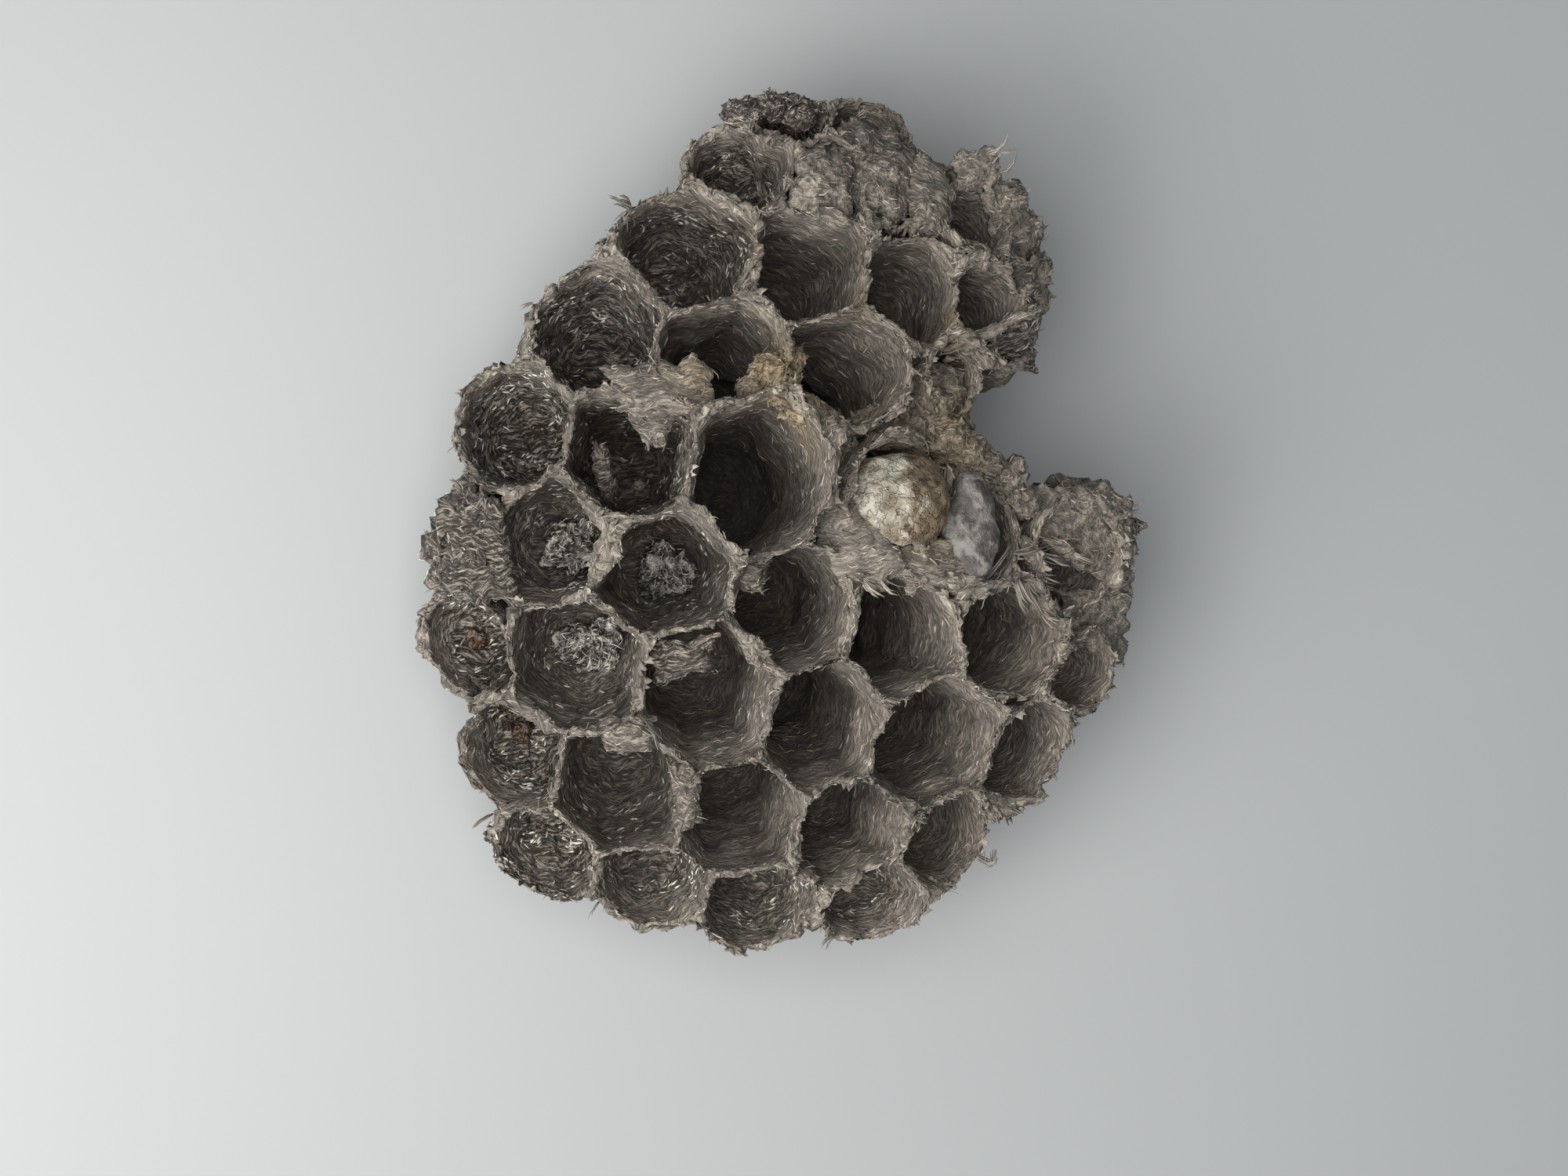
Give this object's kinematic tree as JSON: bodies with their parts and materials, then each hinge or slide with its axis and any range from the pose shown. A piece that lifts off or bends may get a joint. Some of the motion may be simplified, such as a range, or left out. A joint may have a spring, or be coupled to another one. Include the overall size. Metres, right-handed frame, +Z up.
{
  "type": "paper wasp nest",
  "caption": "Open comb of six-sided paper cells fanning out from a short stalk, lying on its back, some cells closed by spun silk lids.",
  "frame": {"origin": "centre of the cut face of the stalk, on the plane that the nest rests on", "axes": "+Z up, out of the cell mouths; +X to the right in the picture, towards the side with the notch; +Y along the comb's length, to the top of the picture"},
  "size_m": [0.0364, 0.0431, 0.0192],
  "materials": {
    "comb_paper": "matte grey-brown wood-fibre paper, laid in short wavy streaks, with pale frayed rims",
    "petiole_varnish": "dense dark paper with a satin, varnish-like skin",
    "white_silk": "matte felted silk, cream white with brown stains",
    "grey_silk": "thin grey silk with a slight sheen",
    "old_silk": "crumpled grey-white silk with a slight sheen",
    "dried_waste": "dark amber-brown, dried, satin"
  },
  "bodies": {
    "root": {"comb": "comb_paper", "petiole": "petiole_varnish", "cocoon_cap_white": "white_silk", "cocoon_cap_grey": "grey_silk", "cocoon_remains_1": "old_silk", "cocoon_remains_2": "old_silk", "cocoon_remains_3": "old_silk", "waste_pellet_1": "dried_waste", "waste_pellet_2": "dried_waste"}
  },
  "joints": []
}
